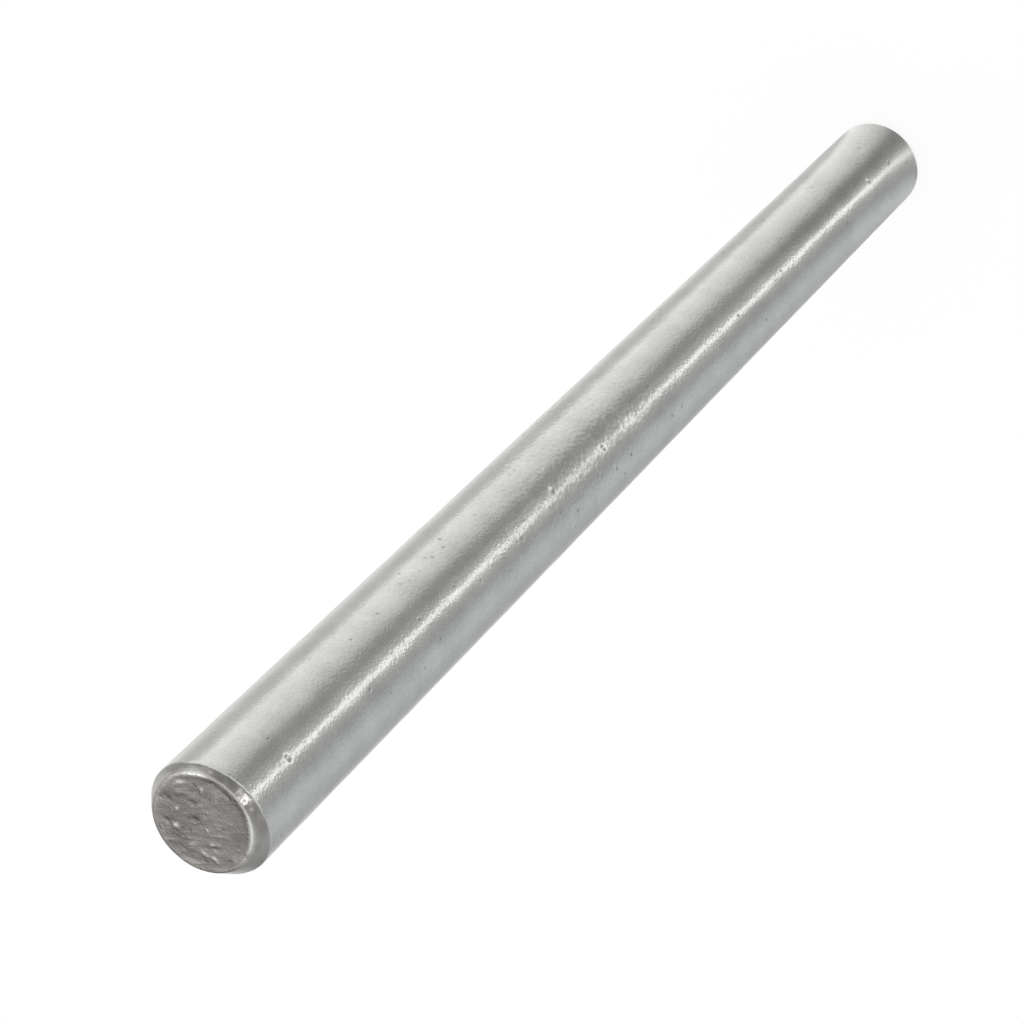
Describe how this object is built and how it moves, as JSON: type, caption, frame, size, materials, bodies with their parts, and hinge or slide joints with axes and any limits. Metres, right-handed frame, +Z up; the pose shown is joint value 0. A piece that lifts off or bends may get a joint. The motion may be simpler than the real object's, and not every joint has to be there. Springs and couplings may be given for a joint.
{
  "type": "taper pin",
  "caption": "Solid steel taper pin with a chamfered large end and a rounded small end, driven into a reamed hole to lock or locate machine parts.",
  "frame": {"origin": "centre of the small end's flat face, which the pin stands on", "axes": "+Z up along the pin's axis, from the small end to the large end; +X towards the wide side of the large end's off-centre chamfer"},
  "size_m": [0.0104, 0.0104, 0.12],
  "materials": {
    "pin_steel": "ground and pitted, uncoated"
  },
  "bodies": {
    "root": {"taper_pin": "pin_steel"}
  },
  "joints": []
}
